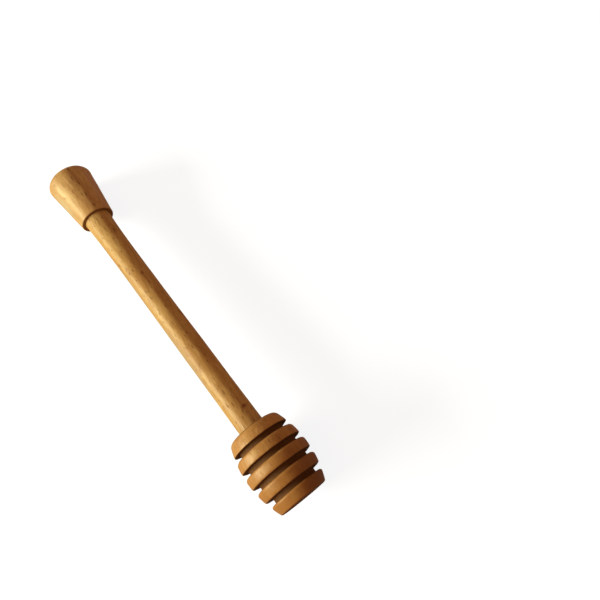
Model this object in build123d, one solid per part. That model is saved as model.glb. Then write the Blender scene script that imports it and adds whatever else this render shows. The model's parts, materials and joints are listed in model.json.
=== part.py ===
from build123d import *
import math
import os

# A honey dipper turned in oiled wood: a ringed head, a round handle and a tapered knob.
# It is stored lying at rest on a level surface, as a user lays it down.
# Lengths are in millimetres. Places along the dipper, called s, count from the knob's far end.

# Knob: a tapered grip, widest near its domed end.
knob_length = 25.4
knob_end_diameter = 19.1
knob_rim_diameter = 13.5
knob_end_radius = 2.2
knob_end_rise = 1.7
knob_rim_easing = 0.6

# Handle: a round rod, drawn in a little beyond the knob, with a tenon turned on each end.
handle_length = 105.35
handle_diameter_at_knob = 10.6
handle_neck_diameter = 9.5
handle_neck_length = 22.0
handle_waist_diameter = 9.45
handle_diameter_at_head = 9.75
tenon_diameter = 6.6
knob_tenon_length = 14.0
head_tenon_length = 18.0
tenon_tip_chamfer = 0.8

# Head: discs left standing between parting grooves, all turned under one barrel curve.
ring_count = 5
ring_thickness = 4.2
groove_width = 1.9
groove_depth = 2.6
shoulder_length = 0.65
crown_diameter = 24.9
barrel_radius = 37.0
groove_floor_bevel = 0.4
ring_front_bevel = 0.4
ring_back_bevel = 0.65
shoulder_easing = 2.0
end_face_easing = 0.7
crown_on_middle_ring_share = 0.313

# Fits: how the tenons sit in their blind sockets.
glue_gap = 0.08
socket_tip_gap = 1.2
drill_point_angle = 118.0
cut_overrun = 1.0
corner_match = 0.01

# Sizes that follow from the ones above.
ring_pitch = ring_thickness + groove_width
head_length = shoulder_length + ring_count * ring_thickness + (ring_count - 1) * groove_width
overall_length = knob_length + handle_length + head_length
head_start = knob_length + handle_length
first_ring_start = head_start + shoulder_length
socket_radius = tenon_diameter / 2 + glue_gap
crown_radius = crown_diameter / 2
middle_ring_start = first_ring_start + (ring_count // 2) * ring_pitch
crown_place = middle_ring_start + crown_on_middle_ring_share * ring_thickness
barrel_centre = Vector(crown_place, crown_radius - barrel_radius)


def arc_about(centre, start, end):
    """The short arc from start to end about a centre."""
    towards_middle = ((start - centre) + (end - centre)).normalized()
    middle = centre + towards_middle * (start - centre).length
    return ThreePointArc(start, middle, end)


def barrel_point(s):
    """The point of the head's barrel curve at a place along the dipper."""
    along = s - barrel_centre.X
    return Vector(s, barrel_centre.Y + math.sqrt(barrel_radius**2 - along**2))


def knob_corner():
    """Centre of the knob's end rounding, and the points where it meets the dome and the taper."""
    slope = math.atan2((knob_end_diameter - knob_rim_diameter) / 2, knob_length)
    place = knob_end_radius + knob_end_rise
    taper_radius = knob_end_diameter / 2 - place * math.tan(slope)
    centre = Vector(place, taper_radius - knob_end_radius / math.cos(slope))
    on_taper = centre + Vector(math.sin(slope), math.cos(slope)) * knob_end_radius
    dome_radius = (centre.X**2 + centre.Y**2 - knob_end_radius**2) / (2 * knob_end_rise)
    dome_centre = Vector(dome_radius, 0)
    on_dome = dome_centre + (centre - dome_centre).normalized() * dome_radius
    return centre, on_taper, dome_centre, on_dome


def turned(profile):
    """The solid that a half profile sweeps as it spins about the dipper's axis."""
    return revolve(profile, Axis.X, 360)


def drilled_socket(mouth, depth, direction):
    """The space of a blind hole along the axis, with the cone that a drill leaves at its floor."""
    floor = mouth + direction * depth
    point = floor + direction * socket_radius / math.tan(math.radians(drill_point_angle / 2))
    outside = mouth - direction * cut_overrun
    outline = Polyline(
        (outside, 0), (outside, socket_radius), (floor, socket_radius), (point, 0), close=True
    )
    return turned(make_face(outline))


def make_knob():
    """The knob: dome, rounded end, straight taper, rounded rim and the handle's socket."""
    centre, on_taper, dome_centre, on_dome = knob_corner()
    rim = Vector(knob_length, knob_rim_diameter / 2)
    foot = Vector(knob_length, 0)
    outline = [
        arc_about(dome_centre, Vector(0, 0), on_dome),
        arc_about(centre, on_dome, on_taper),
        Line(on_taper, rim),
        Line(rim, foot),
        Line(foot, (0, 0)),
    ]
    profile = make_face(outline)
    rim_corner = profile.vertices().sort_by(Axis.X)[-2:].sort_by(Axis.Y)[-1]
    profile = fillet(rim_corner, knob_rim_easing)
    return turned(profile) - drilled_socket(knob_length, knob_tenon_length + socket_tip_gap, -1)


def tenon_outline(shoulder, length, direction):
    """Points of one tenon, from its chamfered tip to the shoulder it leaves."""
    tip = shoulder + direction * length
    chamfer_start = tip - direction * tenon_tip_chamfer
    radius = tenon_diameter / 2
    return [
        Vector(tip, 0),
        Vector(tip, radius - tenon_tip_chamfer),
        Vector(chamfer_start, radius),
        Vector(shoulder, radius),
    ]


def make_handle():
    """The handle: a rod with a drawn-in neck and waist, and a tenon on each end."""
    knob_side = tenon_outline(knob_length, knob_tenon_length, -1)
    head_side = tenon_outline(head_start, head_tenon_length, 1)
    knob_shoulder = Vector(knob_length, handle_diameter_at_knob / 2)
    neck = Vector(knob_length + handle_neck_length, handle_neck_diameter / 2)
    waist_place = (neck.X + head_start) / 2
    waist = Vector(waist_place, handle_waist_diameter / 2)
    head_shoulder = Vector(head_start, handle_diameter_at_head / 2)
    body = ThreePointArc(neck, waist, head_shoulder)
    outline = [
        Polyline(*knob_side, knob_shoulder),
        TangentArc(neck, knob_shoulder, tangent=-(body % 0)),
        body,
        Polyline(head_shoulder, *reversed(head_side)),
        Line(head_side[0], knob_side[0]),
    ]
    return turned(make_face(outline))


def rim_corners(profile, places):
    """The corners of a head profile that lie on the barrel curve at the given places."""
    wanted = [barrel_point(place) for place in places]
    return profile.vertices().filter_by(
        lambda corner: min((Vector(corner.X, corner.Y) - point).length for point in wanted) < corner_match
    )


def make_head():
    """The head: barrel blank, parting grooves, broken rims, rounded ends and the handle's socket."""
    seat_corner = barrel_point(head_start)
    end_corner = barrel_point(overall_length)
    blank = make_face(
        [
            Line((head_start, 0), seat_corner),
            arc_about(barrel_centre, seat_corner, end_corner),
            Line(end_corner, (overall_length, 0)),
            Line((overall_length, 0), (head_start, 0)),
        ]
    )
    ring_ends = [first_ring_start + ring_thickness + gap * ring_pitch for gap in range(ring_count - 1)]
    ring_starts = [place + groove_width for place in ring_ends]
    grooves = Sketch()
    for place in ring_ends:
        floor = barrel_point(place + groove_width / 2).Y - groove_depth
        groove = Rectangle(groove_width, crown_radius + cut_overrun - floor, align=(Align.MIN, Align.MIN))
        groove = chamfer(groove.vertices().group_by(Axis.Y)[0], groove_floor_bevel)
        grooves += Pos(place, floor) * groove
    profile = blank - grooves
    profile = chamfer(rim_corners(profile, ring_ends), ring_front_bevel)
    profile = chamfer(rim_corners(profile, ring_starts), ring_back_bevel)
    profile = fillet(profile.vertices().group_by(Axis.X)[0].sort_by(Axis.Y)[-1], shoulder_easing)
    profile = fillet(profile.vertices().group_by(Axis.X)[-1].sort_by(Axis.Y)[-1], end_face_easing)
    return turned(profile) - drilled_socket(head_start, head_tenon_length + socket_tip_gap, 1)


def resting_pose():
    """Lay the dipper down until the knob and the head's middle ring both touch the surface."""
    knob_centre = knob_corner()[0]
    across = barrel_centre - knob_centre
    slope = math.atan2(across.Y, across.X)
    rise = slope + math.asin((barrel_radius - knob_end_radius) / across.length)
    normal = Vector(-math.sin(rise), math.cos(rise))
    height = normal.dot(knob_centre) + knob_end_radius
    dome_centre = knob_corner()[2]
    knob_reach = dome_centre.X * math.cos(rise) - dome_centre.X
    face_inset = overall_length - end_face_easing - barrel_centre.X
    face_radius = barrel_centre.Y + math.sqrt((barrel_radius - end_face_easing) ** 2 - face_inset**2)
    face_centre = Vector(overall_length - end_face_easing, face_radius)
    head_reach = face_centre.dot(Vector(math.cos(rise), math.sin(rise))) + end_face_easing
    middle = (knob_reach + head_reach) / 2
    return rise, Location((-middle, 0, height), (0, -math.degrees(rise), 0))


rise, lying = resting_pose()
parts = {"knob": make_knob(), "handle": make_handle(), "head": make_head()}

os.makedirs("parts", exist_ok=True)
for name, shape in parts.items():
    export_step(lying * shape, os.path.join("parts", name + ".step"))

print("overall length", round(overall_length, 2), "head length", round(head_length, 2))
print("axis rises towards the head by", round(math.degrees(rise), 3), "degrees")
whole = Compound([lying * shape for shape in parts.values()]).bounding_box()
print("box", [round(v, 3) for v in (*whole.min, *whole.max)])
print("solids", {name: len(shape.solids()) for name, shape in parts.items()})
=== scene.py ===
# %% [markdown]
# A honey dipper, turned in oiled wood
#
# The real thing is three turned pieces of wood: a ringed head that holds the honey, a round handle, and a
# tapered knob at the far end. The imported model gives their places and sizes. Here each piece is turned
# again with more points, softer rims and the small unevenness of hand finishing, and gets a wood of its
# own.

import json
import math
from types import SimpleNamespace

import bpy
from mathutils import Matrix, Vector


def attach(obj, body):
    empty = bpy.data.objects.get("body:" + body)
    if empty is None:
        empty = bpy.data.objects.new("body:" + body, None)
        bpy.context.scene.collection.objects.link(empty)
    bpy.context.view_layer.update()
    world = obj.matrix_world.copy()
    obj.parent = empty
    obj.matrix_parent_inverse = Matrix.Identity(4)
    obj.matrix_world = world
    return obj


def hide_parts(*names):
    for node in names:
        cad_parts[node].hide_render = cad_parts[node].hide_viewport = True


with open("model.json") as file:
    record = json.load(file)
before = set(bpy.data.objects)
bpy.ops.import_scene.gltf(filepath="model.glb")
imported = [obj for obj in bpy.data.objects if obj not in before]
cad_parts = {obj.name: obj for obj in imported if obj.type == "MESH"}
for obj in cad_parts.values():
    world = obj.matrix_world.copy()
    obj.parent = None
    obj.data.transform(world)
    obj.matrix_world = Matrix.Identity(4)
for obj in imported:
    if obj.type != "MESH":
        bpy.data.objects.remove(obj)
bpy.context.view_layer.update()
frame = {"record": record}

# %% [markdown]
# Where the dipper lies
#
# The dipper lies on its middle ring and its knob, so its axis rises a little towards the head. That slope
# could be worked out again here, but the record's mount on the flat end of the head already gives a point
# on the axis and its direction, and taking them from there keeps both models in step. Every outline below
# is drawn along X, with zero at the knob's far end, and is laid along that axis at the end. Places count
# from that zero too.
#
# All sizes are in metres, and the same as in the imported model. Only the rounding of the discs' rims
# differs a little from the plain bevels that stand for it there.

# %% Find the axis
MM = 0.001
mounts = {mount["name"]: mount for mount in frame["record"]["mounts"]}
head_end = Vector(mounts["head_end_face"]["pos_m"])
along = Vector(mounts["head_end_face"]["axis"]).normalized()
overall_length = 160.0 * MM
knob_end = head_end - along * overall_length
lying = Matrix.Translation(knob_end) @ along.to_track_quat("X", "Z").to_matrix().to_4x4()
print("the axis rises by", round(math.degrees(math.asin(along.z)), 2), "degrees")

# %% [markdown]
# Drawing an outline
#
# A lathe leaves a shape that is the same all round. A cylinder with some of its loops pushed in and out
# would come near it, but a piece is better made the way it is turned: half of its outline is drawn as a
# chain of edges, where each radius is just what was measured, and the chain is spun round the axis. The
# chain starts as a small plane that is merged to one point. Each further point is an extrusion of the
# last one.


# %% Outline tools
def draw_outline(name, points):
    """A chain of edges through points, each given as a place along the axis and a radius."""
    bpy.ops.object.select_all(action="DESELECT")
    bpy.ops.mesh.primitive_plane_add(size=MM, location=(0, 0, 0))
    piece = bpy.context.object
    piece.name = name
    piece.data.name = name
    bpy.ops.object.mode_set(mode="EDIT")
    bpy.ops.mesh.select_mode(type="VERT")
    bpy.ops.mesh.select_all(action="SELECT")
    bpy.ops.mesh.merge(type="CENTER")
    here = points[0]
    bpy.ops.transform.translate(value=(here[0], 0, here[1]))
    for there in points[1:]:
        step = (there[0] - here[0], 0, there[1] - here[1])
        bpy.ops.mesh.extrude_region_move(TRANSFORM_OT_translate={"value": step})
        here = there
    bpy.ops.object.mode_set(mode="OBJECT")
    print(name, "outline has", len(piece.data.vertices), "points")
    return piece


def curve(centre, radius, start, end, steps):
    """Points along an arc in the outline's plane, from one angle to another."""
    angles = [start + (end - start) * i / steps for i in range(steps + 1)]
    return [(centre[0] + radius * math.cos(a), centre[1] + radius * math.sin(a)) for a in angles]


def straight(start, end, steps):
    """Points along a straight stretch, without its first one."""
    shares = [i / steps for i in range(1, steps + 1)]
    return [tuple(a + (b - a) * share for a, b in zip(start, end)) for share in shares]


# %% [markdown]
# Rounding a corner
#
# Sandpaper rounds every corner that a chisel leaves. The finished mesh could be bevelled, with thousands
# of edges to find and round. A bevel of the outline's few corner points does the same before the spin. It
# needs room on both sides, so the outlines below put no other point within the bevel's reach and a little
# more. The reach follows from the rounding's radius and the angle of the corner.


# %% Corner tools
SAME_POINT = 0.01 * MM
ROOM = 1.05
RIM_ROOM = 1.2


def reach_of(radius, corner_angle):
    """How far along both sides a rounding of this radius starts from a corner of this angle."""
    return radius * math.tan((math.pi - corner_angle) / 2)


def round_corners(piece, corners, reach, segments):
    """Round the outline's points that lie at the given corners."""
    for point in piece.data.vertices:
        gaps = [math.hypot(point.co.x - place, point.co.z - radius) for place, radius in corners]
        point.select = min(gaps) < SAME_POINT
    bpy.ops.object.mode_set(mode="EDIT")
    bpy.ops.mesh.bevel(affect="VERTICES", offset=reach, segments=segments, profile=0.5)
    bpy.ops.mesh.select_all(action="DESELECT")
    bpy.ops.object.mode_set(mode="OBJECT")
    print(piece.name, "has", len(corners), "corners rounded from", round(reach / MM, 2), "mm away")


# %% [markdown]
# Turning an outline
#
# Spinning the chain by a full turn gives the surface. A Screw modifier would do so too, but the spin
# works in edit mode like the steps before it and needs no applying. The first and last points lie on the
# axis, where the spin leaves one point per step, so doubles are merged before the normals are made to
# point outwards.


# %% Turning tool
TOUCHING = 0.002 * MM


def turn(piece, steps):
    """Spin a piece's outline round the X axis into a closed surface."""
    bpy.ops.object.mode_set(mode="EDIT")
    bpy.ops.mesh.select_all(action="SELECT")
    bpy.ops.mesh.spin(steps=steps, angle=2 * math.pi, center=(0, 0, 0), axis=(1, 0, 0))
    bpy.ops.mesh.select_all(action="SELECT")
    bpy.ops.mesh.remove_doubles(threshold=TOUCHING)
    bpy.ops.mesh.select_all(action="SELECT")
    bpy.ops.mesh.normals_make_consistent(inside=False)
    bpy.ops.object.mode_set(mode="OBJECT")
    print(piece.name, "has", len(piece.data.polygons), "faces")


# %% [markdown]
# Sanding by hand
#
# Nothing that is sanded by hand comes out quite even. That could be sculpted, but cloudy noise comes out
# the same on every run, so each outer surface is pressed in a little by a Displace modifier, which is
# applied. A vertex group keeps it off the faces that meet another piece. It only presses inwards, so the
# piece never grows past its size.


# %% Sanding tool
def sand(piece, lumps, depth, contrast, weigh):
    """Press the surface in by cloudy noise, where weigh(place, radius) is above 0."""
    group = piece.vertex_groups.new(name="sanded")
    for point in piece.data.vertices:
        weight = weigh(point.co.x, math.hypot(point.co.y, point.co.z))
        if weight > 0:
            group.add([point.index], weight, "REPLACE")
    clouds = bpy.data.textures.new(piece.name + "_sanding", "CLOUDS")
    clouds.noise_scale = lumps
    clouds.contrast = contrast
    press = piece.modifiers.new("sanding", "DISPLACE")
    press.texture = clouds
    press.texture_coords = "LOCAL"
    press.vertex_group = group.name
    press.mid_level = 1.0
    press.strength = depth
    bpy.ops.object.select_all(action="DESELECT")
    piece.select_set(True)
    bpy.context.view_layer.objects.active = piece
    bpy.ops.object.modifier_apply(modifier=press.name)
    piece.vertex_groups.clear()
    print(piece.name, "is pressed in by up to", round(depth / MM, 2), "mm")


def rise(value, low, high):
    """0 up to low, 1 from high on, and an even rise between them."""
    return min(1.0, max(0.0, (value - low) / (high - low)))


# %% [markdown]
# The knob
#
# The knob widens away from the handle and ends in a low dome with a rounded edge. It could be put
# together from a cone and a flattened ball, but a seam would show between them, so dome, edge and taper
# are one outline. The rim at the handle is rounded too, and the flat face inside it carries the socket
# that the handle's tenon is glued into. The edge's arc touches both the dome and the taper, so its centre
# and the angles where it starts and stops come first.

# %% Name the knob's sizes
knob_length = 25.4 * MM
knob_end_radius = 9.55 * MM
knob_rim_radius = 6.75 * MM
knob_edge_rounding = 2.2 * MM
knob_dome_rise = 1.7 * MM
knob_rim_rounding = 0.6 * MM
knob_tenon_length = 14.0 * MM
socket_radius = 3.38 * MM
socket_tip_gap = 1.2 * MM
drill_cone_length = 2.03 * MM

knob_slope = math.atan2(knob_end_radius - knob_rim_radius, knob_length)
knob_rim = (knob_length, knob_rim_radius)
knob_rim_reach = reach_of(knob_rim_rounding, math.pi / 2 + knob_slope)
print("the knob's side slopes by", round(math.degrees(knob_slope), 2), "degrees")


# %% Outline the knob
def socket(mouth, tenon_length, direction):
    """Points down a blind hole from its mouth to the point of the drill's cone."""
    floor = mouth + direction * (tenon_length + socket_tip_gap)
    wall = straight((mouth, socket_radius), (floor, socket_radius), steps=6)
    return [(mouth, socket_radius), *wall, (floor + direction * drill_cone_length, 0)]


def knob_outline():
    """The knob's half outline: dome, rounded edge, taper, rim and socket."""
    place = knob_edge_rounding + knob_dome_rise
    taper_radius = knob_end_radius - place * math.tan(knob_slope)
    centre = Vector((place, taper_radius - knob_edge_rounding / math.cos(knob_slope)))
    dome_radius = (centre.length_squared - knob_edge_rounding**2) / (2 * knob_dome_rise)
    meeting = math.atan2(centre.y, centre.x - dome_radius)
    points = curve((dome_radius, 0), dome_radius, math.pi, meeting, steps=14)[:-1]
    points += curve(centre, knob_edge_rounding, meeting, math.pi / 2 - knob_slope, steps=12)
    share = 1 - knob_rim_reach * ROOM / knob_length
    before_rim = tuple(a + (b - a) * share for a, b in zip(points[-1], knob_rim))
    points += straight(points[-1], before_rim, steps=26)
    return [*points, knob_rim, *socket(knob_length, knob_tenon_length, -1)]


# %% Turn the knob
knob = draw_outline("dipper_knob", knob_outline())
round_corners(knob, [knob_rim], knob_rim_reach, segments=6)
turn(knob, steps=176)

# %% [markdown]
# Sanding the knob
#
# Sandpaper goes over the dome and the taper alike. The whole mesh could be pressed in, but that would
# spoil the flat seat that meets the handle and the socket inside it, which stay as they were turned. So a
# point's place and radius say how far it is sanded.

# %% Sand the knob
dome_reach = 7.5 * MM
dome_fade = 3.0 * MM


def knob_outside(place, radius):
    """How far a point of the knob is sanded: not at all in its socket or on its seat."""
    on_dome = rise(dome_reach - place, low=0, high=dome_fade)
    off_socket = rise(radius, low=socket_radius, high=knob_rim_radius)
    off_seat = rise(knob_length - place, low=0.2 * MM, high=1.5 * MM)
    return max(on_dome, off_socket * off_seat)


sand(knob, lumps=6.0 * MM, depth=0.10 * MM, contrast=1.2, weigh=knob_outside)

# %% [markdown]
# The handle
#
# The handle is a plain rod that thins out from the knob over its neck, and again very little at its
# waist. A cylinder would look stiff beside the real one, which is never quite even after sanding. So it
# is spun from an outline as well, and swells by a hair between waist and head. Its tenons reach into the
# knob and the head, out of sight, so that the pieces come apart as the real ones would.

# %% Name the handle's sizes
handle_length = 105.35 * MM
handle_radius_at_knob = 5.3 * MM
handle_neck_radius = 4.75 * MM
handle_neck_length = 22.0 * MM
handle_waist_radius = 4.725 * MM
handle_radius_at_head = 4.875 * MM
swell_place = 94.0 * MM
swell_length = 13.0 * MM
swell_height = 0.08 * MM
tenon_radius = 3.3 * MM
tenon_tip_bevel = 0.8 * MM
head_tenon_length = 18.0 * MM

neck_end = knob_length + handle_neck_length
head_start = knob_length + handle_length
print("the handle shows from", round(knob_length / MM, 2), "to", round(head_start / MM, 2), "mm")


# %% Outline the handle
def handle_radius(place):
    """The handle's radius at a place along the dipper: neck, then one long shallow curve with its swell."""
    if place < neck_end:
        share = (neck_end - place) / handle_neck_length
        return handle_neck_radius + (handle_radius_at_knob - handle_neck_radius) * share**2
    half = (head_start - neck_end) / 2
    t = (place - neck_end - half) / half
    lift = (handle_radius_at_head + handle_neck_radius) / 2 - handle_waist_radius
    lean = (handle_radius_at_head - handle_neck_radius) / 2
    swell = swell_height * math.exp(-(((place - swell_place) / swell_length) ** 2))
    return handle_waist_radius + lift * t * t + lean * t + swell


def tenon(shoulder, length, direction):
    """A tenon's outline from its tip to the shoulder it leaves."""
    tip = shoulder + direction * length
    corner = (tip - direction * tenon_tip_bevel, tenon_radius)
    bevelled = [(tip, 0), (tip, tenon_radius - tenon_tip_bevel), corner]
    return bevelled + straight(corner, (shoulder, tenon_radius), steps=6)


def handle_outline():
    """The handle's half outline, tenons included."""
    steps = 150
    places = [knob_length + handle_length * i / steps for i in range(steps + 1)]
    body = [(place, handle_radius(place)) for place in places]
    return tenon(knob_length, knob_tenon_length, -1) + body + tenon(head_start, head_tenon_length, 1)[::-1]


# %% Turn the handle
handle = draw_outline("dipper_handle", handle_outline())
turn(handle, steps=112)

# %% [markdown]
# Sanding the handle
#
# A rod is easy to sand evenly, so the handle is pressed in the least. With no sanding at all it would be
# as straight as a metal tube, and its shine would give that away. Its tenons and the shoulders beside
# them are left as turned, because they have to fit.


# %% Sand the handle
def handle_outside(place, radius):
    """How far a point of the handle is sanded: not at all on its tenons or next to their shoulders."""
    off_tenon = rise(radius, low=tenon_radius, high=handle_waist_radius - 0.1 * MM)
    from_ends = min(place - knob_length, head_start - place)
    return off_tenon * rise(from_ends, low=0.3 * MM, high=2.0 * MM)


sand(handle, lumps=6.0 * MM, depth=0.05 * MM, contrast=1.2, weigh=handle_outside)

# %% [markdown]
# The head
#
# The head starts as one barrel-shaped block. Four grooves are cut with a narrow parting tool, which
# leaves five discs under one smooth curve. Five discs threaded on a rod would look much the same from
# afar, but the grooves' floors would stay level, where the real ones follow the barrel. So the outline
# follows the barrel along each disc, drops into each groove to an even depth and climbs out again. The
# parting tool leaves each disc's front rim crisp, and sandpaper, drawn towards the handle, wears its back
# rim rounder. The shoulder next to the handle is rounded most.

# %% Name the head's sizes
ring_count = 5
ring_thickness = 4.2 * MM
groove_width = 1.9 * MM
groove_depth = 2.6 * MM
shoulder_length = 0.65 * MM
crown_radius = 12.45 * MM
crown_on_middle_ring_share = 0.313
barrel_radius = 37.0 * MM
groove_floor_rounding = 0.4 * MM
ring_front_rounding = 0.4 * MM
ring_back_rounding = 0.9 * MM
shoulder_rounding = 2.0 * MM
end_face_rounding = 0.7 * MM

first_ring = head_start + shoulder_length
ring_pitch = ring_thickness + groove_width
crown_place = first_ring + (ring_count // 2) * ring_pitch + crown_on_middle_ring_share * ring_thickness
print("the head lies from", round(head_start / MM, 2), "to", round(overall_length / MM, 2), "mm")


# %% Find the head's corners
def barrel(place):
    """The head's radius under its barrel curve."""
    return crown_radius - barrel_radius + math.sqrt(barrel_radius**2 - (place - crown_place) ** 2)


def floor_radius(ring):
    """The radius at the floor of the groove behind a ring: all grooves are cut equally deep."""
    return barrel(ring - groove_width / 2) - groove_depth


rings = [first_ring + i * ring_pitch for i in range(ring_count)]
back_rims = [(ring, barrel(ring)) for ring in rings[1:]]
front_rims = [(ring - groove_width, barrel(ring - groove_width)) for ring in rings[1:]]
floors = [(place, floor_radius(ring)) for ring in rings[1:] for place in (ring, ring - groove_width)]
shoulder = (head_start, barrel(head_start))
shoulder_slope = math.asin((crown_place - head_start) / barrel_radius)
shoulder_reach = reach_of(shoulder_rounding, math.pi / 2 + shoulder_slope)
end_rim = (overall_length, barrel(overall_length))
end_slope = math.asin((overall_length - crown_place) / barrel_radius)
end_reach = reach_of(end_face_rounding, math.pi / 2 + end_slope)
print("the head has", len(back_rims) + len(front_rims), "rims and", len(floors), "corners in its grooves")


# %% Outline the head
def over_disc(start, end, start_room, end_room, steps):
    """Points along a disc's rim, none of them within reach of the roundings at its two corners."""
    first = start + start_room
    last = end - end_room
    inner = [first + (last - first) * (i / steps) for i in range(steps + 1)]
    return [(place, barrel(place)) for place in (start, *inner, end)]


def head_outline():
    """The head's half outline, from the point of its socket to the middle of its flat end."""
    points = socket(head_start, head_tenon_length, 1)[::-1]
    under_shoulder = (head_start, shoulder[1] - shoulder_reach * ROOM)
    points += straight(points[-1], under_shoulder, steps=3)
    for i, ring in enumerate(rings):
        start = ring if i else head_start
        start_room = ring_back_rounding * RIM_ROOM if i else shoulder_reach * ROOM
        last = i == ring_count - 1
        end = overall_length if last else ring + ring_thickness
        end_room = end_reach * ROOM if last else ring_front_rounding * RIM_ROOM
        points += over_disc(start, end, start_room, end_room, steps=8)
        if not last:
            start = end + groove_width
            low = floor_radius(start)
            above_floor = low + groove_floor_rounding * RIM_ROOM
            front_wall_top = barrel(end) - ring_front_rounding * RIM_ROOM
            back_wall_top = barrel(start) - ring_back_rounding * RIM_ROOM
            points += straight((end, front_wall_top), (end, above_floor), steps=5)
            points += [(end, low), (end + groove_width / 2, low), (start, low), (start, above_floor)]
            points += straight((start, above_floor), (start, back_wall_top), steps=5)
    points += straight(end_rim, (overall_length, 0), steps=8)
    return points


# %% Turn the head
head = draw_outline("dipper_head", head_outline())
round_corners(head, front_rims, ring_front_rounding, segments=4)
round_corners(head, back_rims, ring_back_rounding, segments=6)
round_corners(head, floors, groove_floor_rounding, segments=3)
round_corners(head, [shoulder], shoulder_reach, segments=8)
round_corners(head, [end_rim], end_reach, segments=5)
turn(head, steps=240)

# %% [markdown]
# Sanding the head
#
# On the discs the paper takes off what it does elsewhere. It can't get into the grooves, so the weight
# fades out just under the barrel curve. Rims are what wears, and stronger and smaller noise there makes
# them waver. Chips could be cut into them, but a wavering rim catches the light in the same way and stays
# closed.


# %% Sand the head
def head_outside(place, radius):
    """How far a point of the head is sanded: fully on the discs, and not at all in the grooves."""
    return rise(radius, low=barrel(place) - 1.2 * MM, high=barrel(place) - 0.2 * MM)


def head_rims(place, radius):
    """1 at the discs' rims next to the grooves, and less with the distance from them."""
    rims = front_rims + back_rims
    nearest = min(math.hypot(place - rim, radius - height) for rim, height in rims)
    return 1 - rise(nearest, low=0.35 * MM, high=0.9 * MM)


sand(head, lumps=6.0 * MM, depth=0.10 * MM, contrast=1.2, weigh=head_outside)
sand(head, lumps=2.6 * MM, depth=0.16 * MM, contrast=1.6, weigh=head_rims)

# %% [markdown]
# Laying the pieces down
#
# Up to here each piece lies along X, because that is simplest to draw. Now each is shaded smooth, with
# its sharper edges kept, and laid along the dipper's own axis. The turn goes into the mesh and not into
# the object, so that patterns on the object's own coordinates stay in place. Each piece then rides on the
# frame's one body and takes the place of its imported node.

# %% Lay the pieces down
sharpest_smooth_edge = math.radians(38)
seats = ((knob, "knob", "knob_wood"), (handle, "handle", "handle_wood"), (head, "head", "head_wood"))
for piece, node, slot_name in seats:
    bpy.ops.object.select_all(action="DESELECT")
    piece.select_set(True)
    bpy.context.view_layer.objects.active = piece
    bpy.ops.object.shade_smooth_by_angle(angle=sharpest_smooth_edge)
    piece.matrix_world = lying
    bpy.ops.object.transform_apply(location=True, rotation=True, scale=True)
    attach(piece, "root")
    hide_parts(node)
    print(piece.name, "replaces", node)

# %% [markdown]
# Nodes written as sums
#
# A wood that looks right from every side has to be a pattern that fills space, not a picture wrapped
# round the piece. Such a pattern takes many small nodes. They could be added one by one, each with its
# links, but sums are easier to read. So a node's output is wrapped, and plain arithmetic on it adds the
# Math nodes.


# %% The signal
class Signal:
    """An output socket of a finish. Arithmetic on it adds Math nodes."""

    def __init__(self, finish, socket):
        self.finish = finish
        self.socket = socket

    def maths(self, operation, *values):
        return self.finish.node("ShaderNodeMath", {"operation": operation}, dict(enumerate(values)))

    def __add__(self, other):
        return self.maths("ADD", self, other)

    def __sub__(self, other):
        return self.maths("SUBTRACT", self, other)

    def __rsub__(self, other):
        return self.maths("SUBTRACT", other, self)

    def __mul__(self, other):
        return self.maths("MULTIPLY", self, other)

    def beside(self, name):
        """Another output of the same node."""
        return Signal(self.finish, self.socket.node.outputs[name])

    def size(self):
        return self.maths("ABSOLUTE", self)

    def whole(self):
        return self.maths("FLOOR", self)

    def rest(self):
        return self.maths("FRACT", self)

    def largest(self, other):
        return self.maths("MAXIMUM", self, other)

    __radd__ = __add__
    __rmul__ = __mul__


# %% [markdown]
# Finishes
#
# Every other node comes from one method, which takes its kind, its settings and what goes into its
# sockets. The few that are needed again and again have a short name here: one colour laid over another, a
# soft step, and sums of vectors. The Mix node has sockets for every kind of data under the same names, so
# those for colours go by their numbers.

# %% The finish
MIX_FACTOR, MIX_UNDER, MIX_OVER, MIX_COLOUR = 0, 6, 7, 2


class Finish:
    """The nodes of one material, or of the world."""

    def __init__(self, owner):
        owner.use_nodes = True
        self.owner = owner
        self.tree = owner.node_tree

    def plug(self, socket, value):
        """Link a signal to a socket, or set the socket to a plain value."""
        if isinstance(value, Signal):
            self.tree.links.new(value.socket, socket)
        else:
            socket.default_value = value

    def node(self, kind, settings, sockets, output=0):
        """Add a node of a kind, with its settings first and then its sockets' values or links."""
        made = self.tree.nodes.new(kind)
        for setting, value in settings.items():
            setattr(made, setting, value)
        for name, value in sockets.items():
            self.plug(made.inputs[name], value)
        return Signal(self, made.outputs[output])

    def tint(self, amount, under, over):
        """One colour where amount is 0, and another where it is 1."""
        sockets = {MIX_FACTOR: amount, MIX_UNDER: under, MIX_OVER: over}
        return self.node("ShaderNodeMix", {"data_type": "RGBA"}, sockets, output=MIX_COLOUR)

    def between(self, value, low, high):
        """0 at low and under, 1 at high and over, with a soft rise from one to the other."""
        sockets = {"Value": value, "From Min": low, "From Max": high}
        return self.node("ShaderNodeMapRange", {"interpolation_type": "SMOOTHSTEP"}, sockets)

    def vector(self, operation, first, second=(0, 0, 0), output="Vector"):
        """Vector maths on one or two vectors. Output Value gives the operations whose answer is a number."""
        return self.node("ShaderNodeVectorMath", {"operation": operation}, {0: first, 1: second}, output)

    def length(self, first):
        return self.vector("LENGTH", first, output="Value")

    def facing(self, direction):
        """1 where the surface faces along or against a direction, and 0 where it faces across it."""
        normal = self.node("ShaderNodeTexCoord", {}, {}, output="Normal")
        return self.vector("DOT_PRODUCT", normal, direction, output="Value").size()


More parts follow.
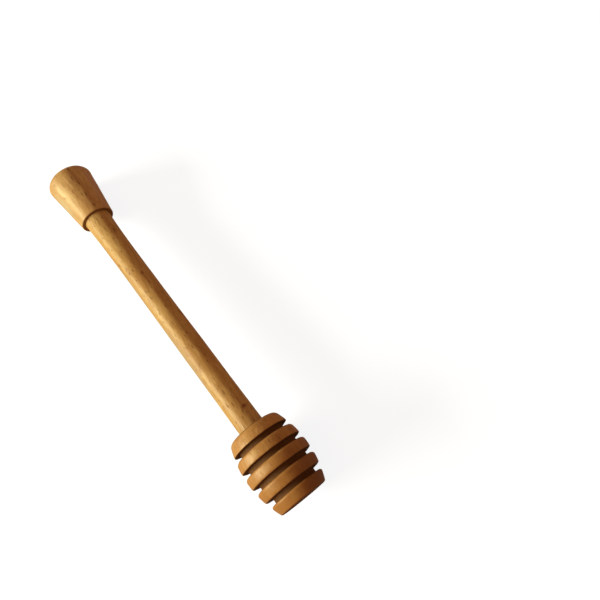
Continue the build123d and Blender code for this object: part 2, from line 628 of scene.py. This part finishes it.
# %% [markdown]
# Clouds and strokes
#
# Nearly all that shows in wood is either cloudy or made of short strokes that run along the grain.
# Strokes could be cut out of noise, but they would come out in all sizes. A Voronoi texture gives one to
# each of its cells, and the colour that it gives the cell is a lot that leaves some of them out.

# %% Wood's own patterns
STROKE_CORE = 0.4
LOT_SOFTNESS = 0.1


class Wood(Finish):
    """A finish with the patterns that wood is made of."""

    def noise(self, place, stretch, detail, rough):
        """Cloudy noise from 0 to 1, with about stretch lumps per millimetre in each direction."""
        at = self.vector("MULTIPLY", place, stretch)
        sockets = {"Vector": at, "Scale": 1.0, "Detail": detail, "Roughness": rough}
        return self.node("ShaderNodeTexNoise", {"normalize": True}, sockets)

    def dashes(self, place, stretch, reach, share):
        """Short strokes, one in each cell of a stretched honeycomb, on a share of the cells."""
        sockets = {"Vector": self.vector("MULTIPLY", place, stretch), "Scale": 1.0}
        away = self.node("ShaderNodeTexVoronoi", {}, sockets)
        lot = self.node("ShaderNodeSeparateColor", {}, {"Color": away.beside("Color")})
        stroke = 1 - self.between(away, reach * STROKE_CORE, reach)
        return stroke * self.between(lot, 1 - share, 1 + LOT_SOFTNESS - share)

    def frame_of(self, turned):
        """Places on the object in millimetres, from the knob's far end, along the axes of a turned frame."""
        here = self.node("ShaderNodeTexCoord", {}, {}, output="Object")
        sockets = {"Vector": here, "Location": knob_end, "Rotation": turned.to_euler(), "Scale": (MM, MM, MM)}
        return self.node("ShaderNodeMapping", {"vector_type": "TEXTURE"}, sockets)


# %% [markdown]
# Beech
#
# The dipper is beech, stained golden brown and rubbed with oil. Beech is a plain wood, but three things
# give it away. Its yearly rings are soft bands that end in a thin darker line. Its rays are flat ribbons
# that run outwards from the heart of the tree, so they show as short dark dashes where the surface faces
# outwards, and as paler flakes where it faces sideways. And its fibres are fine and even. All three are
# built round the tree's own axes, which are turned a little differently for each piece, because the
# pieces come from different boards.
#
# Some marks sit at one spot of one piece. They are placed by how far along the dipper and how far round
# it they are, as they would be measured on the real thing, so a helper turns that into a place in space.


# %% Where a mark sits
def on_surface(place, angle):
    """A spot on the surface in millimetres: how far along it is, and how many degrees round from the top."""
    distance = place * MM
    if distance < knob_length:
        radius = knob_end_radius - (knob_end_radius - knob_rim_radius) * distance / knob_length
    elif distance > head_start:
        radius = barrel(distance)
    else:
        radius = handle_radius(distance)
    angle = math.radians(angle)
    return Vector((place, radius / MM * math.sin(angle), radius / MM * math.cos(angle)))


# %% [markdown]
# The sizes of the grain
#
# Each pattern is cloudy noise, or short strokes, drawn out along the grain. The first numbers say how
# many lumps or strokes there are per millimetre up the tree, along its rings and outwards from its heart.
# For the clouds, the next two say how many finer layers lie over them and how strong those are. The bend
# of the fibres and the wander of the rings are the most that they stray, in millimetres.

# %% Name the patterns
GRAIN_BEND = 2.6
WANDER = 5.0
CLOUDS = {
    "bend_across": ((0.11, 0.25, 0.25), 3.0, 0.6),
    "bend_outwards": ((0.09, 0.35, 0.15), 3.0, 0.6),
    "wander": ((0.03, 0.10, 0.10), 2.0, 0.5),
    "cloud": ((0.035, 0.22, 0.22), 2.0, 0.5),
    "figure": ((0.10, 0.85, 0.85), 3.0, 0.6),
    "fibre": ((0.16, 3.2, 3.2), 3.0, 0.6),
    "fine": ((0.6, 9.0, 9.0), 2.0, 0.6),
    "sanding": ((5.0, 0.25, 0.25), 2.0, 0.6),
}
STROKES = {"pores": (0.30, 2.1, 1.0), "streaks": (0.10, 0.9, 0.45), "flakes": (0.30, 0.09, 1.1)}
print(len(CLOUDS) + len(STROKES), "patterns make up the wood")

# %% [markdown]
# The grain
#
# A tree's fibres run up its stem, but never quite straight. Every pattern could be given a bend of its
# own, but in real wood all of them bend together. So the bend is added to the places that the patterns
# are drawn at.


# %% Lay the grain
def tree_of(board):
    """The axes of the tree that a board was cut from."""
    turned = Matrix.Rotation(math.radians(board["turn"]), 4, "X")
    leaning = Matrix.Rotation(math.radians(board["lean"]), 4, "Y")
    return lying @ turned @ leaning


def grain_of(wood, board):
    """Places in the tree in millimetres, moved by the bend of its fibres."""
    straight_grain = wood.vector("ADD", wood.frame_of(tree_of(board)), board["shift"])
    bend = wood.node("ShaderNodeCombineXYZ", {}, {
        "Y": (wood.noise(straight_grain, *CLOUDS["bend_across"]) - 0.5) * GRAIN_BEND,
        "Z": (wood.noise(straight_grain, *CLOUDS["bend_outwards"]) - 0.5) * GRAIN_BEND,
    })
    return wood.vector("ADD", straight_grain, bend)


# %% [markdown]
# Yearly rings
#
# The rings are tubes round the heart of the tree, and a turned piece cuts them into lines and ovals.
# Drawn lines would break where two faces meet. Instead the distance from the heart, divided by a year's
# width, counts the years at every place, and the part after the decimal point says how far that year had
# come. A knot makes the rings bulge round it.


# %% Count the years
KNOT_SHAPE = (0.55, 1, 1)
LATE_FROM, LATE_FULL, LATE_ENDS = 0.35, 0.97, 0.975
EVERY_YEAR, SOME_YEARS = 0.15, 0.30


def late_wood(wood, board, grain, lathe):
    """The dark line that ends each year's growth, stronger in some years than in others."""
    wander = wood.noise(grain, *CLOUDS["wander"]) - 0.5
    from_heart = wood.vector("ADD", wood.vector("MULTIPLY", grain, (0, 1, 1)), (0, 0, board["heart"]))
    years = wood.length(from_heart) + wander * WANDER
    for place, angle, reach, swell in board["knots"]:
        from_knot = wood.vector("SUBTRACT", lathe, on_surface(place, angle))
        away = wood.length(wood.vector("MULTIPLY", from_knot, KNOT_SHAPE))
        years = years + (1 - wood.between(away, 0.0, reach)) * swell
    years = years * (1 / board["year_width"])
    tone = wood.node("ShaderNodeTexWhiteNoise", {"noise_dimensions": "1D"}, {"W": years.whole()})
    darkens = wood.between(years.rest(), LATE_FROM, LATE_FULL)
    late = darkens * (1 - wood.between(years.rest(), LATE_ENDS, 1.0))
    return late * (EVERY_YEAR + SOME_YEARS * tone)


# %% [markdown]
# What a board shows
#
# Each thing that shows in the wood is a pattern of its own: clouds of tone, streaky figure, fibres, fine
# fibres, pores, open streaks and the flakes of the rays. Two more say which way the surface faces in the
# tree, and whether the wood is cut across. One noise could serve for all, but the eye tells wood by its
# layers. The stain then shows them one over another, each with one of the board's colours.


# %% Grow the patterns
def patterns_of(wood, board):
    """What one board shows, each pattern from 0 to 1, and the places on the lathe in millimetres."""
    grain = grain_of(wood, board)
    lathe = wood.frame_of(lying)
    outwards = tree_of(board).to_3x3() @ Vector((0, 0, 1))
    return SimpleNamespace(
        lathe=lathe,
        late=late_wood(wood, board, grain, lathe),
        cloud=wood.noise(grain, *CLOUDS["cloud"]),
        figure=wood.noise(grain, *CLOUDS["figure"]),
        fibre=wood.noise(grain, *CLOUDS["fibre"]),
        fine=wood.noise(grain, *CLOUDS["fine"]),
        pores=wood.dashes(grain, STROKES["pores"], reach=0.34, share=0.5),
        streaks=wood.dashes(grain, STROKES["streaks"], reach=0.22, share=board["streaky"]),
        flakes=wood.dashes(grain, STROKES["flakes"], reach=0.34, share=0.6),
        flat_sawn=wood.between(wood.facing(outwards), 0.35, 0.85),
        cut_end=wood.between(wood.facing(along), 0.72, 0.96),
    )


# %% Stain the sides
def stained(wood, board, seen):
    """The colour of the sides. Each layer tints the one under it with one of the board's colours."""
    layers = (
        (wood.between(seen.cloud, 0.3, 0.7), "russet"),
        (seen.late, "late"),
        (wood.between(seen.figure, 0.48, 0.70) * 0.50, "late"),
        ((1 - wood.between(seen.figure, 0.28, 0.46)) * 0.55, "pale"),
        (wood.between(seen.fibre, 0.48, 0.74) * 0.42, "late"),
        ((1 - wood.between(seen.fibre, 0.28, 0.44)) * 0.35, "pale"),
        (wood.between(seen.fine, 0.52, 0.78) * 0.30, "fleck"),
        (seen.flakes * (1 - seen.flat_sawn) * 0.25, "pale"),
        (seen.pores * wood.between(seen.fine, 0.40, 0.52) * (0.35 + 0.40 * seen.flat_sawn), "fleck"),
        (seen.streaks * wood.between(seen.fine, 0.42, 0.54) * 0.85, "fleck"),
    )
    colour = board["honey"]
    for amount, shade in layers:
        colour = wood.tint(amount, colour, board[shade])
    return colour


# %% [markdown]
# Marks
#
# Pores and streaks fall where they like, but a few larger flecks and patches are what one knows a piece of
# wood by. Some patches are not the wood's own but painted light: painted highlights, a painted reflection
# along a lit edge and painted shade. Each is an oval at its own spot, and fibres fray its edge, because a
# clean oval would look painted on. Flecks are open grain, like the pores and the streaks.


# %% Draw the marks
FRAYED_BY_FIBRE, FRAYED_BY_FINE = 0.9, 0.6
MARK_CORE, MARK_EDGE = 0.30, 1.05


def marked(wood, board, seen, colour):
    """The colour with the board's marks on it, and how open its grain is."""
    open_grain = seen.pores.largest(seen.streaks)
    for shade, place, angle, long, wide, strength in board["marks"]:
        off = wood.vector("SUBTRACT", seen.lathe, on_surface(place, angle))
        off = wood.length(wood.vector("MULTIPLY", off, (1 / long, 1 / wide, 1 / wide)))
        frayed = off + (seen.fibre - 0.5) * FRAYED_BY_FIBRE + (seen.fine - 0.5) * FRAYED_BY_FINE
        here = (1 - wood.between(frayed, MARK_CORE, MARK_EDGE)) * strength
        colour = wood.tint(here, colour, board[shade])
        if shade == "fleck":
            open_grain = open_grain.largest(here)
    return colour, open_grain


# %% [markdown]
# Stain and painted shade in the head
#
# The head stands in honey, so its wood has darkened towards the tip; that darkening is partly stain and
# partly painted shade. Down one side near the tip it is darker still, and that is painted shade. Cut grain
# drinks more than the sides do, so the grooves are darker inside, and they are painted darker still as
# painted shade. A colour per face would stop dead at each rim. How far a place lies under the barrel curve
# gives a soft start instead.


# %% Soak and shade the head
TIP_REACHED = (first_ring / MM - 4, overall_length / MM + 2)
SIDE_REACHED = (first_ring / MM + 3, overall_length / MM)
SIDE_FADE = (-3.0, 8.0)
GROOVE_FADE = (0.45, groove_depth / MM - 0.5)


def soaked_and_shaded(wood, board, seen, colour):
    """The colour with stain and painted shade at the tip and in the grooves, painted shade down one side, and
    how deep in a groove a place lies.
    """
    towards_tip = wood.node("ShaderNodeSeparateXYZ", {}, {"Vector": seen.lathe})
    # Darker towards the tip: partly stain, partly painted shade.
    reached = wood.between(towards_tip, *TIP_REACHED)
    colour = wood.tint(reached * board["tip_stain_and_shade"], colour, board["tip"])
    # Darker down one side near the tip: painted shade.
    beyond_shoulder = wood.between(towards_tip, *SIDE_REACHED)
    painted_shade_side = wood.between(towards_tip.beside("Y"), *SIDE_FADE)
    colour = wood.tint(beyond_shoulder * painted_shade_side * board["painted_side_shade"], colour, board["tip_dark_and_shade"])
    # Darker deep in the grooves: partly stain, partly painted shade.
    from_axis = wood.length(wood.vector("MULTIPLY", seen.lathe, (0, 1, 1)))
    from_crown = towards_tip - crown_place / MM
    barrel_drop = from_crown * from_crown * (0.5 * MM / barrel_radius)
    under_rim = crown_radius / MM - barrel_drop - from_axis
    deep = wood.between(under_rim, *GROOVE_FADE)
    return wood.tint(deep * board["groove_stain_and_shade"], colour, board["end"]), deep


# %% [markdown]
# Oil
#
# Rubbed oil leaves the sides satin. Open pores, cut ends and groove walls drink it and stay dull, so the
# same patterns that tint the wood also set how rough it is. The fibres are raised and the pores sunk by a
# bump, because they are far too fine to model.


# %% Finish one piece in oiled beech
def beech(name, board):
    """A finish for one piece. board says how the piece sat in the tree, and how it took the oil."""
    wood = Wood(bpy.data.materials.new(name))
    shader = wood.tree.nodes["Principled BSDF"]
    seen = patterns_of(wood, board)
    colour, open_grain = marked(wood, board, seen, stained(wood, board, seen))
    deep = 0.0
    if "tip_stain_and_shade" in board:
        colour, deep = soaked_and_shaded(wood, board, seen, colour)
    # Cut ends darker: partly the stain that end grain drinks, partly painted shade on rims and groove walls.
    colour = wood.tint(seen.cut_end * board["end_stain_and_shade"], colour, board["end"])
    wood.plug(shader.inputs["Base Color"], colour)
    rough = board["roughness"] + (seen.fibre - 0.5) * 0.20 + (seen.cloud - 0.5) * 0.10
    rough = rough + open_grain * 0.40 + seen.cut_end * 0.42 + deep * 0.35
    wood.plug(shader.inputs["Roughness"], rough)
    shader.inputs["Specular IOR Level"].default_value = board["gloss"]
    shader.inputs["Specular Tint"].default_value = board["sheen"]
    sanding = wood.noise(seen.lathe, *CLOUDS["sanding"])
    height = seen.figure * 0.5 + seen.fibre * 0.35 + seen.fine * 0.25
    height = height - seen.pores * 0.6 - seen.streaks * 0.4 + sanding * 0.2
    relief = {"Height": height, "Strength": 1.0, "Distance": board["relief"] * MM}
    wood.plug(shader.inputs["Normal"], wood.node("ShaderNodeBump", {}, relief))
    print(name, "has", len(wood.tree.nodes), "nodes")
    return wood.owner


# %% [markdown]
# Three boards
#
# Each piece says how it sat in its tree, in degrees and millimetres, how it took stain and oil, and what
# light and shade are painted on it. One board for all three would be shorter to write, but the grain would
# run on through the joints.
#
# Turn and lean say how the board sat round the tree's heart, heart how far from it, and shift from which
# length of it. Year_width is the thickness of one year's ring, and streaky the share of the wood that has
# open streaks. Of the colours, honey is the ground, russet its clouds, late the dark end of a year, pale the
# light fibres and some painted highlights, fleck the open grain, and end the cut grain, which also serves as
# painted shade in the grooves and on cut rims. The rest belong to marks, stains and painted light. Four
# numbers say how strongly cut ends, the tip, one side of the head and the grooves are darkened: cut ends, tip
# and grooves partly by stain and partly as painted shade, the side as painted shade alone.
# Gloss and sheen are the strength and the colour of the oil's shine, and relief is the depth of the
# grain. A knot is how far along, how far round, how wide and how many years thick. A mark is the name of
# its colour, how far along, how far round, how long, how wide and how strong.

# %% [markdown]
# The knob's board
#
# The knob is the palest piece. Its marks paint light and shade on it: a paler, cooler painted reflection
# along its lit edge, golden painted highlights on its lit side, and mauve painted shade on the other side.
# Dark streaks, russet patches and a row of short dark flecks along it are its own. Noise would put such tints
# anywhere, so they are marks, each at its place.

# %% Name the knob's board
boards = {}
boards["knob"] = {
    "turn": 20, "lean": 1.5, "shift": (300, 0, 0), "heart": 42.0,
    "year_width": 2.3, "streaky": 0.5, "knots": [],
    "honey": (0.71, 0.475, 0.165, 1), "russet": (0.60, 0.345, 0.110, 1), "late": (0.41, 0.195, 0.050, 1),
    "fleck": (0.14, 0.050, 0.009, 1), "pale": (0.83, 0.60, 0.24, 1), "end": (0.15, 0.055, 0.012, 1),
    "painted_shade_mauve": (0.57, 0.330, 0.195, 1), "painted_rim_reflection": (0.62, 0.500, 0.245, 1), "sheen": (1.0, 0.88, 0.62, 1),
    # Cut ends are darkened partly by stain and partly as painted shade.
    "end_stain_and_shade": 0.85, "roughness": 0.44, "gloss": 0.6, "relief": 0.05,
    "marks": [
        # The marks at 14 mm and 70 degrees are a painted reflection along the lit edge, those at 15 and 10.3
        # mm on the lit side a painted highlight, and those at 42 to 60 degrees painted shade.
        ("painted_rim_reflection", 14.0, -70, 10.0, 3.0, 0.80), ("pale", 15.0, -30, 9.0, 2.2, 0.65),
        ("painted_shade_mauve", 2.5, 42, 4.5, 4.0, 0.75), ("painted_shade_mauve", 12.0, 60, 8.0, 3.0, 0.75),
        ("painted_shade_mauve", 21.0, 54, 6.0, 2.2, 0.60), ("late", 8.0, 13, 6.5, 1.3, 0.70),
        ("late", 19.5, 15, 5.0, 1.1, 0.60), ("russet", 5.1, -34, 2.6, 2.0, 0.60),
        ("russet", 17.8, -30, 6.0, 0.8, 0.60), ("pale", 10.3, -42, 4.5, 1.4, 0.75),
        ("fleck", 4.0, 12, 1.8, 0.34, 0.95), ("fleck", 8.5, 6, 2.6, 0.26, 0.95),
        ("fleck", 11.8, 15, 2.4, 0.26, 0.95), ("fleck", 17.5, 13, 2.8, 0.26, 0.90),
        ("fleck", 22.9, 14, 1.8, 0.26, 0.85), ("fleck", 13.9, -13, 1.4, 0.22, 0.75),
        ("fleck", 16.8, 4, 1.6, 0.22, 0.80),
    ],
}
print("the knob has", len(boards["knob"]["marks"]), "marks")

# %% [markdown]
# The handle's board
#
# The handle is golden too, with a long painted reflection, paler and cooler, along its lit edge, a tiny knot,
# and reddish spots near the knot and next to the head. Its flecks are finer than the knob's. The pores could
# stand for them, but the eye runs down a plain rod and counts what it meets, so they are placed as well.

# %% Name the handle's board
boards["handle"] = {
    "turn": 35, "lean": 0.8, "shift": (0, 0, 0), "heart": 55.0,
    "year_width": 2.0, "streaky": 0.6, "knots": [(55.4, -13, 2.2, 1.6)],
    "honey": (0.66, 0.425, 0.128, 1), "russet": (0.55, 0.305, 0.080, 1), "late": (0.36, 0.160, 0.036, 1),
    "fleck": (0.14, 0.050, 0.009, 1), "pale": (0.77, 0.55, 0.20, 1), "end": (0.15, 0.055, 0.012, 1),
    "red": (0.33, 0.125, 0.030, 1), "painted_rim_reflection": (0.50, 0.355, 0.165, 1), "sheen": (1.0, 0.88, 0.62, 1),
    # Cut ends are darkened partly by stain and partly as painted shade.
    "end_stain_and_shade": 0.7, "roughness": 0.46, "gloss": 0.55, "relief": 0.05,
    "marks": [
        # The two marks at 74 and 80 degrees are a painted reflection along the lit edge.
        ("painted_rim_reflection", 96.0, -74, 24.0, 2.6, 0.90), ("painted_rim_reflection", 62.0, -80, 16.0, 2.2, 0.60),
        ("red", 58.3, 16, 1.3, 0.80, 0.80), ("late", 53.2, -36, 1.3, 0.50, 0.60),
        ("red", 123.4, 14, 1.3, 0.80, 0.80), ("red", 123.2, 30, 1.1, 1.40, 0.80),
        ("late", 37.0, 26, 1.6, 0.40, 0.50), ("late", 62.0, -4, 4.5, 0.50, 0.45),
        ("fleck", 30.6, -10, 1.3, 0.22, 0.50), ("fleck", 34.0, 0, 2.0, 0.20, 0.50),
        ("fleck", 41.0, 3, 2.2, 0.20, 0.50), ("fleck", 49.8, -26, 1.1, 0.22, 0.55),
        ("fleck", 55.4, -14, 1.2, 0.32, 0.75), ("fleck", 58.2, 14, 0.6, 0.30, 0.70),
        ("fleck", 65.8, -26, 1.3, 0.22, 0.55), ("fleck", 69.0, -22, 1.5, 0.26, 0.70),
        ("fleck", 75.4, 10, 1.3, 0.26, 0.65), ("fleck", 79.8, -22, 1.1, 0.22, 0.55),
        ("fleck", 83.8, -22, 1.3, 0.24, 0.60), ("fleck", 86.6, -34, 1.2, 0.22, 0.50),
        ("fleck", 88.6, 14, 0.9, 0.34, 0.75), ("fleck", 94.6, -2, 1.3, 0.28, 0.70),
        ("fleck", 101.4, -22, 1.1, 0.22, 0.50), ("fleck", 102.2, 14, 1.1, 0.26, 0.60),
        ("fleck", 115.0, -10, 1.9, 0.28, 0.85), ("fleck", 120.6, -10, 1.6, 0.26, 0.75),
        ("fleck", 124.6, 6, 1.2, 0.30, 0.80), ("fleck", 123.0, 24, 0.6, 0.60, 0.60),
    ],
}
print("the handle has", len(boards["handle"]["marks"]), "marks")

# %% [markdown]
# The head's board
#
# The head is redder and darker, because it lies in honey and is washed most often. It could take the handle's
# colours with a brown laid over them, but its discs show pale wood beside rust, so it has colours of its own.
# A pale patch on its second disc and a gold one on its third are painted highlights. Only the head is
# darkened at its tip, partly by stain and partly as painted shade, down one side as painted shade, and in its
# grooves, partly by stain and partly as painted shade.

# %% Name the head's board
boards["head"] = {
    "turn": -30, "lean": 2.0, "shift": (-200, 0, 0), "heart": 38.0,
    "year_width": 2.6, "streaky": 0.25, "knots": [],
    "honey": (0.60, 0.330, 0.095, 1), "russet": (0.50, 0.245, 0.060, 1), "late": (0.36, 0.150, 0.030, 1),
    "fleck": (0.15, 0.050, 0.009, 1), "pale": (0.66, 0.41, 0.135, 1), "end": (0.12, 0.040, 0.007, 1),
    "painted_highlight_gold": (0.78, 0.520, 0.210, 1), "tip": (0.38, 0.155, 0.026, 1), "tip_dark_and_shade": (0.16, 0.045, 0.003, 1),
    "rust": (0.46, 0.170, 0.030, 1), "sheen": (1.0, 0.86, 0.58, 1),
    # The side's darkening is painted shade; the cut ends', tip's and grooves' darkening is partly stain and
    # partly painted shade.
    "end_stain_and_shade": 0.88, "tip_stain_and_shade": 0.80, "painted_side_shade": 0.85, "groove_stain_and_shade": 0.92,
    "roughness": 0.46, "gloss": 0.6, "relief": 0.04,
    "marks": [
        # The pale mark at 139.6 mm and the gold mark at 145.6 mm are painted highlights.
        ("pale", 157.8, -11, 1.8, 2.6, 0.60), ("tip_dark_and_shade", 158.8, 22, 1.8, 3.2, 0.65),
        ("rust", 152.9, 13, 1.3, 1.8, 0.70), ("tip_dark_and_shade", 151.2, 6, 0.8, 2.0, 0.50),
        ("fleck", 139.3, 6, 1.5, 0.35, 0.60), ("late", 140.4, 16, 1.4, 2.2, 0.25),
        ("pale", 139.6, -26, 1.9, 2.4, 0.70), ("painted_highlight_gold", 145.6, -26, 1.9, 3.2, 0.75),
        ("rust", 147.0, 8, 1.0, 2.6, 0.50), ("late", 133.4, 12, 2.0, 1.6, 0.20),
        ("fleck", 134.6, 2, 1.1, 0.30, 0.50), ("fleck", 146.2, 20, 1.2, 0.30, 0.50),
    ],
}
print("the head has", len(boards["head"]["marks"]), "marks")

# %% [markdown]
# Finishing the pieces
#
# Each piece gets one material, because stain and oil went over the whole of it. The faces of the grooves
# and ends could have a second, darker one, but its edge would follow the mesh. In one material each place
# answers for itself whether it lies on a side, on a cut end or in a groove.

# %% Finish the pieces
for piece, node, slot_name in seats:
    piece.data.materials.clear()
    piece.data.materials.append(beech(f"oiled_beech_{node}", boards[node]))

# %% [markdown]
# Floor and surroundings
#
# The dipper lies on a plain white floor in a plain room. Stronger lamps could burn the floor white, but
# the wood would turn pale with it. So the floor is white by its colour and by a little light of its own,
# and the room is white where the camera looks past the floor. Both show that white to what looks at them,
# a share of it to what mirrors them, and give the wood warmer light, as a table and walls in warm tones
# do.

# %% Make the floor
MIRRORED = 0.13
floor_width = 6
lit_floor = (0.55, 0.33, 0.18, 1)
seen_floor = (0.55, 0.55, 0.55, 1)
no_glow = (0, 0, 0, 1)
near_glow = (0.77, 0.83, 0.86, 1)
far_glow = (1, 1, 1, 1)
near_radius = 0.2
far_radius = 0.7


def looked_at(finish):
    """1 for what the camera or clear glass looks at, and MIRRORED for what a glossy surface mirrors."""
    seen = finish.node("ShaderNodeLightPath", {}, {}, output="Is Camera Ray")
    mirrored = seen.beside("Is Glossy Ray") * MIRRORED
    return seen.largest(seen.beside("Is Transmission Ray")).largest(mirrored)


bpy.ops.object.select_all(action="DESELECT")
bpy.ops.mesh.primitive_plane_add(size=floor_width, location=(0, 0, 0))
floor = bpy.context.object
floor.name = "floor"
paper = Finish(bpy.data.materials.new("floor_white"))
paper_shader = paper.tree.nodes["Principled BSDF"]
seen = looked_at(paper)
paper.plug(paper_shader.inputs["Base Color"], paper.tint(seen, lit_floor, seen_floor))
from_dipper = paper.length(paper.node("ShaderNodeTexCoord", {}, {}, output="Object"))
glow = paper.tint(paper.between(from_dipper, near_radius, far_radius), near_glow, far_glow)
paper.plug(paper_shader.inputs["Emission Color"], paper.tint(seen, no_glow, glow))
paper_shader.inputs["Emission Strength"].default_value = 1.0
paper_shader.inputs["Roughness"].default_value = 0.9
floor.data.materials.append(paper.owner)
print("the floor is", floor_width, "m wide")

# %% Make the room
world = bpy.data.worlds.new("plain_room")
bpy.context.scene.world = world
room = Finish(world)
warm = room.node("ShaderNodeBackground", {}, {"Color": (1.0, 0.54, 0.32, 1), "Strength": 0.31})
white = room.node("ShaderNodeBackground", {}, {"Color": (1, 1, 1, 1), "Strength": 1.0})
walls = room.node("ShaderNodeMixShader", {}, {0: looked_at(room), 1: warm, 2: white})
room.plug(room.tree.nodes["World Output"].inputs["Surface"], walls)
print("the room has", len(room.tree.nodes), "nodes")

# %% [markdown]
# The lamp
#
# One broad lamp stands low on the side that the camera sees on the left. A small lamp would draw a hard
# line between light and dark along the handle. A broad one lights that flank of each round, draws a long
# soft shine on it and leaves the other flank in warm shade.


# %% Place the lamp
def soft_lamp(name, place, size, power, tone):
    """A rectangular lamp at place, in metres, that faces the dipper."""
    bpy.ops.object.light_add(type="AREA", location=place)
    lamp = bpy.context.object
    lamp.name = name
    lamp.rotation_euler = (-Vector(place)).to_track_quat("-Z", "Y").to_euler()
    lamp.data.shape = "RECTANGLE"
    lamp.data.size, lamp.data.size_y = size
    lamp.data.energy = power
    lamp.data.color = tone
    print(name, "stands", round(Vector(place).length, 2), "m away")


soft_lamp("window", place=(-0.18, -0.75, 0.24), size=(0.5, 0.17), power=7.6, tone=(0.98, 1.0, 0.88))

# %% [markdown]
# The camera
#
# The camera looks down at a slant, from beyond the ringed head, with the dipper on the left of the
# picture. Its place, aim, roll and lens were fitted to the outline of the photographed dipper, so that a
# render can be laid over the photograph.

# %% Place the camera
camera_place = Vector((82.702, -11.412, 221.744)) * MM
looks_at = Vector((18.958, 46.011, 0.0)) * MM
camera_roll = 0.0778
bpy.ops.object.camera_add(location=camera_place)
camera = bpy.context.object
camera.name = "camera"
facing_down = (looks_at - camera_place).to_track_quat("-Z", "Y").to_matrix().to_4x4()
camera.matrix_world = Matrix.Translation(camera_place) @ facing_down @ Matrix.Rotation(camera_roll, 4, "Z")
camera.data.lens = 35.4
camera.data.sensor_width = 36
camera.data.clip_start = 0.01
bpy.context.scene.camera = camera
bpy.context.scene.view_settings.view_transform = "Standard"
print("the camera stands", round((camera_place - looks_at).length, 3), "m from what it looks at")
